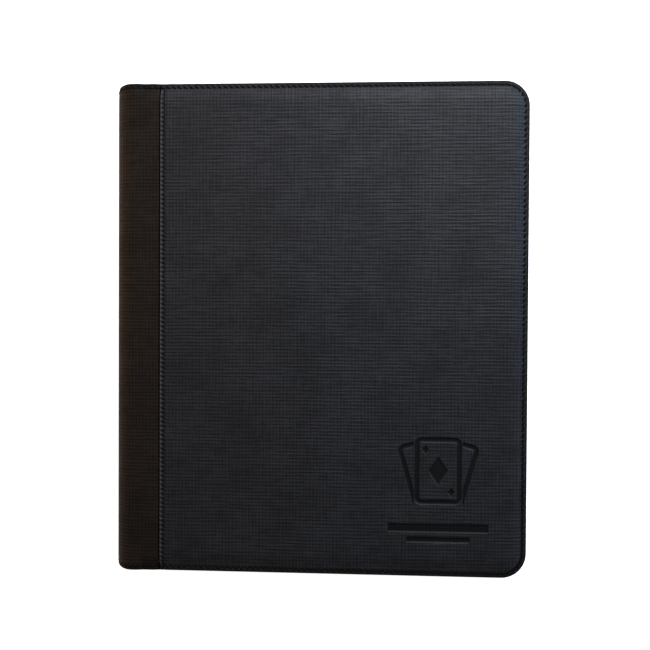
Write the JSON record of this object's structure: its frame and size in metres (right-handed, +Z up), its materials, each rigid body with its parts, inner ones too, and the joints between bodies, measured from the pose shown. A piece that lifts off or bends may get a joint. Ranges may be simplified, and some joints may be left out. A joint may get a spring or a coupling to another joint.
{
  "type": "trading card binder",
  "caption": "Closed side-loading card album: padded, stitched leatherette covers, a soft round spine and turning leaves of clear nine-pocket film.",
  "frame": {"origin": "middle of the bottom of the closed binder's box, lying on its back cover", "axes": "+Z up through the closed binder to the front cover, +Y to its top edge, -X to the spine and +X to the fore-edge"},
  "size_m": [0.268, 0.318, 0.03],
  "materials": {
    "cover_leatherette": "satin",
    "spine_leatherette": "satin",
    "lining_cloth": "matte",
    "foam": "matte",
    "board": "matte",
    "thread": "satin",
    "rail_plastic": "matte",
    "leaf_backing": "satin",
    "pocket_film": "clear gloss"
  },
  "bodies": {
    "back_cover": {"back_skin": "cover_leatherette", "back_foam": "foam", "back_board": "board", "back_lining": "lining_cloth", "back_wrap_flap": "spine_leatherette", "back_edge_thread": "thread", "back_seam_thread": "thread"},
    "spine": {"spine_wrap": "spine_leatherette", "spine_stiffener": "board", "spine_lining": "lining_cloth", "spine_edge_thread": "thread", "binding_rail": "rail_plastic"},
    "front_cover": {"front_skin": "cover_leatherette", "front_foam": "foam", "front_board": "board", "front_lining": "lining_cloth", "front_wrap_flap": "spine_leatherette", "front_edge_thread": "thread", "front_seam_thread": "thread"},
    "leaf_01": {"leaf_sheet_01": "leaf_backing", "leaf_pockets_01": "pocket_film"},
    "leaf_02": {"leaf_sheet_02": "leaf_backing", "leaf_pockets_02": "pocket_film"},
    "leaf_03": {"leaf_sheet_03": "leaf_backing", "leaf_pockets_03": "pocket_film"},
    "leaf_04": {"leaf_sheet_04": "leaf_backing", "leaf_pockets_04": "pocket_film"},
    "leaf_05": {"leaf_sheet_05": "leaf_backing", "leaf_pockets_05": "pocket_film"},
    "leaf_06": {"leaf_sheet_06": "leaf_backing", "leaf_pockets_06": "pocket_film"},
    "leaf_07": {"leaf_sheet_07": "leaf_backing", "leaf_pockets_07": "pocket_film"},
    "leaf_08": {"leaf_sheet_08": "leaf_backing", "leaf_pockets_08": "pocket_film"},
    "leaf_09": {"leaf_sheet_09": "leaf_backing", "leaf_pockets_09": "pocket_film"},
    "leaf_10": {"leaf_sheet_10": "leaf_backing", "leaf_pockets_10": "pocket_film"},
    "leaf_11": {"leaf_sheet_11": "leaf_backing", "leaf_pockets_11": "pocket_film"},
    "leaf_12": {"leaf_sheet_12": "leaf_backing", "leaf_pockets_12": "pocket_film"},
    "leaf_13": {"leaf_sheet_13": "leaf_backing", "leaf_pockets_13": "pocket_film"},
    "leaf_14": {"leaf_sheet_14": "leaf_backing", "leaf_pockets_14": "pocket_film"},
    "leaf_15": {"leaf_sheet_15": "leaf_backing", "leaf_pockets_15": "pocket_film"},
    "leaf_16": {"leaf_sheet_16": "leaf_backing", "leaf_pockets_16": "pocket_film"},
    "leaf_17": {"leaf_sheet_17": "leaf_backing", "leaf_pockets_17": "pocket_film"},
    "leaf_18": {"leaf_sheet_18": "leaf_backing", "leaf_pockets_18": "pocket_film"},
    "leaf_19": {"leaf_sheet_19": "leaf_backing", "leaf_pockets_19": "pocket_film"},
    "leaf_20": {"leaf_sheet_20": "leaf_backing", "leaf_pockets_20": "pocket_film"}
  },
  "joints": [
    {"name": "spine_hinge", "type": "hinge", "parent": "back_cover", "child": "spine", "pos_m": [-0.13019, 0, 0.00471], "axis": [0, -1, 0], "range_deg": [0, 90]},
    {"name": "front_cover_hinge", "type": "hinge", "parent": "spine", "child": "front_cover", "pos_m": [-0.13019, 0, 0.02529], "axis": [0, -1, 0], "range_deg": [0, 90]},
    {"name": "leaf_01_hinge", "type": "hinge", "parent": "spine", "child": "leaf_01", "pos_m": [-0.12702, 0, 0.02422], "axis": [0, -1, 0], "range_deg": [0, 89.5]},
    {"name": "leaf_02_hinge", "type": "hinge", "parent": "spine", "child": "leaf_02", "pos_m": [-0.12657, 0, 0.02324], "axis": [0, -1, 0], "range_deg": [0, 88.3]},
    {"name": "leaf_03_hinge", "type": "hinge", "parent": "spine", "child": "leaf_03", "pos_m": [-0.12612, 0, 0.02227], "axis": [0, -1, 0], "range_deg": [0, 87.1]},
    {"name": "leaf_04_hinge", "type": "hinge", "parent": "spine", "child": "leaf_04", "pos_m": [-0.12567, 0, 0.02131], "axis": [0, -1, 0], "range_deg": [0, 85.9]},
    {"name": "leaf_05_hinge", "type": "hinge", "parent": "spine", "child": "leaf_05", "pos_m": [-0.12522, 0, 0.02033], "axis": [0, -1, 0], "range_deg": [0, 84.7]},
    {"name": "leaf_06_hinge", "type": "hinge", "parent": "spine", "child": "leaf_06", "pos_m": [-0.12477, 0, 0.01937], "axis": [0, -1, 0], "range_deg": [0, 83.5]},
    {"name": "leaf_07_hinge", "type": "hinge", "parent": "spine", "child": "leaf_07", "pos_m": [-0.12432, 0, 0.0184], "axis": [0, -1, 0], "range_deg": [0, 82.3]},
    {"name": "leaf_08_hinge", "type": "hinge", "parent": "spine", "child": "leaf_08", "pos_m": [-0.12387, 0, 0.01742], "axis": [0, -1, 0], "range_deg": [0, 81.1]},
    {"name": "leaf_09_hinge", "type": "hinge", "parent": "spine", "child": "leaf_09", "pos_m": [-0.12342, 0, 0.01646], "axis": [0, -1, 0], "range_deg": [0, 79.9]},
    {"name": "leaf_10_hinge", "type": "hinge", "parent": "spine", "child": "leaf_10", "pos_m": [-0.12297, 0, 0.01549], "axis": [0, -1, 0], "range_deg": [0, 78.7]},
    {"name": "leaf_11_hinge", "type": "hinge", "parent": "spine", "child": "leaf_11", "pos_m": [-0.12297, 0, 0.01452], "axis": [0, -1, 0], "range_deg": [-78.7, 0]},
    {"name": "leaf_12_hinge", "type": "hinge", "parent": "spine", "child": "leaf_12", "pos_m": [-0.12342, 0, 0.01354], "axis": [0, -1, 0], "range_deg": [-79.9, 0]},
    {"name": "leaf_13_hinge", "type": "hinge", "parent": "spine", "child": "leaf_13", "pos_m": [-0.12387, 0, 0.01257], "axis": [0, -1, 0], "range_deg": [-81.1, 0]},
    {"name": "leaf_14_hinge", "type": "hinge", "parent": "spine", "child": "leaf_14", "pos_m": [-0.12432, 0, 0.01161], "axis": [0, -1, 0], "range_deg": [-82.3, 0]},
    {"name": "leaf_15_hinge", "type": "hinge", "parent": "spine", "child": "leaf_15", "pos_m": [-0.12477, 0, 0.01064], "axis": [0, -1, 0], "range_deg": [-83.5, 0]},
    {"name": "leaf_16_hinge", "type": "hinge", "parent": "spine", "child": "leaf_16", "pos_m": [-0.12522, 0, 0.00966], "axis": [0, -1, 0], "range_deg": [-84.7, 0]},
    {"name": "leaf_17_hinge", "type": "hinge", "parent": "spine", "child": "leaf_17", "pos_m": [-0.12567, 0, 0.00869], "axis": [0, -1, 0], "range_deg": [-85.9, 0]},
    {"name": "leaf_18_hinge", "type": "hinge", "parent": "spine", "child": "leaf_18", "pos_m": [-0.12612, 0, 0.00773], "axis": [0, -1, 0], "range_deg": [-87.1, 0]},
    {"name": "leaf_19_hinge", "type": "hinge", "parent": "spine", "child": "leaf_19", "pos_m": [-0.12657, 0, 0.00675], "axis": [0, -1, 0], "range_deg": [-88.3, 0]},
    {"name": "leaf_20_hinge", "type": "hinge", "parent": "spine", "child": "leaf_20", "pos_m": [-0.12702, 0, 0.00579], "axis": [0, -1, 0], "range_deg": [-89.5, 0]}
  ],
  "couplings": [
    {"joint": "front_cover_hinge", "follows": "spine_hinge", "ratio": 1},
    {"joint": "leaf_01_hinge", "follows": "spine_hinge", "ratio": 0.99444},
    {"joint": "leaf_02_hinge", "follows": "spine_hinge", "ratio": 0.98111},
    {"joint": "leaf_03_hinge", "follows": "spine_hinge", "ratio": 0.96778},
    {"joint": "leaf_04_hinge", "follows": "spine_hinge", "ratio": 0.95444},
    {"joint": "leaf_05_hinge", "follows": "spine_hinge", "ratio": 0.94111},
    {"joint": "leaf_06_hinge", "follows": "spine_hinge", "ratio": 0.92778},
    {"joint": "leaf_07_hinge", "follows": "spine_hinge", "ratio": 0.91444},
    {"joint": "leaf_08_hinge", "follows": "spine_hinge", "ratio": 0.90111},
    {"joint": "leaf_09_hinge", "follows": "spine_hinge", "ratio": 0.88778},
    {"joint": "leaf_10_hinge", "follows": "spine_hinge", "ratio": 0.87444},
    {"joint": "leaf_11_hinge", "follows": "spine_hinge", "ratio": -0.87444},
    {"joint": "leaf_12_hinge", "follows": "spine_hinge", "ratio": -0.88778},
    {"joint": "leaf_13_hinge", "follows": "spine_hinge", "ratio": -0.90111},
    {"joint": "leaf_14_hinge", "follows": "spine_hinge", "ratio": -0.91444},
    {"joint": "leaf_15_hinge", "follows": "spine_hinge", "ratio": -0.92778},
    {"joint": "leaf_16_hinge", "follows": "spine_hinge", "ratio": -0.94111},
    {"joint": "leaf_17_hinge", "follows": "spine_hinge", "ratio": -0.95444},
    {"joint": "leaf_18_hinge", "follows": "spine_hinge", "ratio": -0.96778},
    {"joint": "leaf_19_hinge", "follows": "spine_hinge", "ratio": -0.98111},
    {"joint": "leaf_20_hinge", "follows": "spine_hinge", "ratio": -0.99444}
  ]
}
